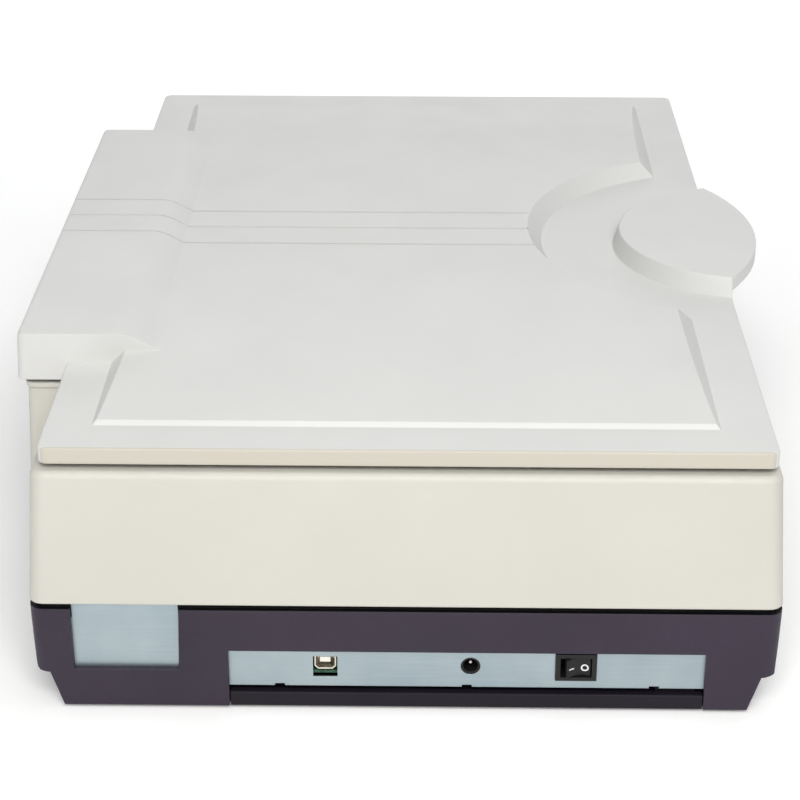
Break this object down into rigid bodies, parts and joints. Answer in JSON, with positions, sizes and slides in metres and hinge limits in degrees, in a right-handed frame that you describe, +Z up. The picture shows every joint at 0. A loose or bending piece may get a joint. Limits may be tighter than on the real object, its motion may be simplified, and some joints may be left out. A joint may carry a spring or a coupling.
{
  "type": "flatbed scanner",
  "caption": "Large-format flatbed scanner: dark base, light casing, hinged lid with rear hump and round grip, end connectors, belt-driven scan carriage under the glass.",
  "frame": {"origin": "centre of the whole object in plan, on the surface that the feet stand on", "axes": "+Z up; X along the length with the connector end at -X; the lid hinges at +Y and its grip handle is at -Y"},
  "size_m": [0.5698, 0.4165, 0.167],
  "materials": {
    "housing_light": "light warm beige moulded plastic, fine spark-eroded texture",
    "lid_light": "light grey-white moulded plastic, fine texture",
    "base_dark": "dark purple-grey moulded plastic",
    "sheet_steel": "zinc-plated sheet steel, bluish grey",
    "connector_shell": "tin-plated connector shell",
    "connector_insulator": "cream insulator",
    "black_plastic": "black moulded plastic",
    "circuit_board": "green circuit board",
    "capacitor_can": "aluminium can",
    "white_plastic": "white moulded plastic",
    "platen_glass": "clear float glass",
    "gasket_black": "black adhesive gasket",
    "rubber_black": "black rubber",
    "foam_white": "white foam pad with a smooth sheet",
    "steel_bright": "ground steel",
    "fastener_steel": "zinc-plated screws",
    "brass": "machined brass",
    "nylon": "natural nylon",
    "motor_black": "black painted motor case",
    "belt_rubber": "black toothed belt",
    "bronze": "sintered bronze bush",
    "lamp_white": "white phosphor-coated lamp tube",
    "mirror": "first-surface mirror",
    "lamp_reflector": "polished reflector foil",
    "light_pipe": "translucent light pipe",
    "ceramic_grey": "ceramic sensor package"
  },
  "bodies": {
    "root": {"base_housing": "base_dark", "rubber_feet": "rubber_black", "case_screws": "fastener_steel", "chassis_screws": "fastener_steel", "io_sill_bar": "base_dark", "io_panel_plate": "sheet_steel", "expansion_cover_plate": "sheet_steel", "usb_socket_shell": "connector_shell", "usb_socket_tongue": "connector_insulator", "dc_jack_body": "black_plastic", "dc_jack_pin": "steel_bright", "switch_bezel": "black_plastic", "main_board": "circuit_board", "board_chips": "black_plastic", "board_capacitors": "capacitor_can", "board_connectors": "white_plastic", "upper_housing": "housing_light", "light_pipes": "light_pipe", "post_sockets": "black_plastic", "platen_glass": "platen_glass", "platen_gasket": "gasket_black", "calibration_strip": "white_plastic", "guide_rod": "steel_bright", "rod_holders": "black_plastic", "guide_rail": "sheet_steel", "motor_bracket": "sheet_steel", "stepper_motor": "motor_black", "gear_axle": "steel_bright", "idler_bracket": "sheet_steel", "tension_spring": "steel_bright", "drive_belt": "belt_rubber"},
    "motor_rotor": {"motor_shaft": "steel_bright", "motor_pinion": "brass"},
    "drive_wheel": {"reduction_gear": "nylon", "drive_pulley": "nylon"},
    "idler_wheel": {"idler_pulley": "nylon"},
    "carriage": {"carriage_housing": "black_plastic", "carriage_base": "black_plastic", "rod_bushes": "bronze", "rail_slider": "nylon", "belt_clamp": "black_plastic", "lamp_tube": "lamp_white", "lamp_holders": "rubber_black", "lamp_reflector": "lamp_reflector", "carriage_mirrors": "mirror", "lens_barrel": "black_plastic", "lens_clamp": "black_plastic", "sensor_board": "circuit_board", "sensor_chip": "ceramic_grey", "inverter_board": "circuit_board"},
    "rocker": {"switch_rocker": "black_plastic"},
    "lock": {"transport_lock": "white_plastic"},
    "hinge_posts": {"hinge_posts": "housing_light"},
    "lid": {"lid_cover": "lid_light", "lid_inner_panel": "white_plastic", "document_pad": "foam_white", "lid_bumpers": "rubber_black", "hinge_pins": "steel_bright", "hinge_brackets": "sheet_steel", "lid_screws": "fastener_steel"}
  },
  "joints": [
    {"name": "lid_lift", "type": "slide", "parent": "root", "child": "hinge_posts", "axis": [0, 0, 1], "range_m": [0, 0.02]},
    {"name": "lid_hinge", "type": "hinge", "parent": "hinge_posts", "child": "lid", "pos_m": [-0.015, 0.20025, 0.159], "axis": [-1, 0, 0], "range_deg": [0, 96]},
    {"name": "carriage_travel", "type": "slide", "parent": "root", "child": "carriage", "axis": [1, 0, 0], "range_m": [0, 0.444]},
    {"name": "drive_wheel_spin", "type": "hinge", "parent": "root", "child": "drive_wheel", "pos_m": [-0.25, 0.10825, 0.055], "axis": [0, 0, 1], "range_deg": [-3934, 0]},
    {"name": "idler_spin", "type": "hinge", "parent": "root", "child": "idler_wheel", "pos_m": [0.258, 0.10825, 0.058], "axis": [0, 0, 1], "range_deg": [-3934, 0]},
    {"name": "motor_spin", "type": "hinge", "parent": "root", "child": "motor_rotor", "pos_m": [-0.25, 0.07615, 0.05], "axis": [0, 0, 1], "range_deg": [0, 11798]},
    {"name": "power_switch", "type": "hinge", "parent": "root", "child": "rocker", "pos_m": [-0.2782, -0.08995, 0.0263], "axis": [0, 0, -1], "range_deg": [0, 26]},
    {"name": "transport_lock_turn", "type": "hinge", "parent": "root", "child": "lock", "pos_m": [-0.262, -0.00175, 0.13], "axis": [0, 0, 1], "range_deg": [0, 90]}
  ],
  "couplings": [
    {"joint": "drive_wheel_spin", "follows": "carriage_travel", "rad_per_m": -154.56},
    {"joint": "idler_spin", "follows": "carriage_travel", "rad_per_m": -154.56},
    {"joint": "motor_spin", "follows": "carriage_travel", "rad_per_m": 463.68}
  ]
}
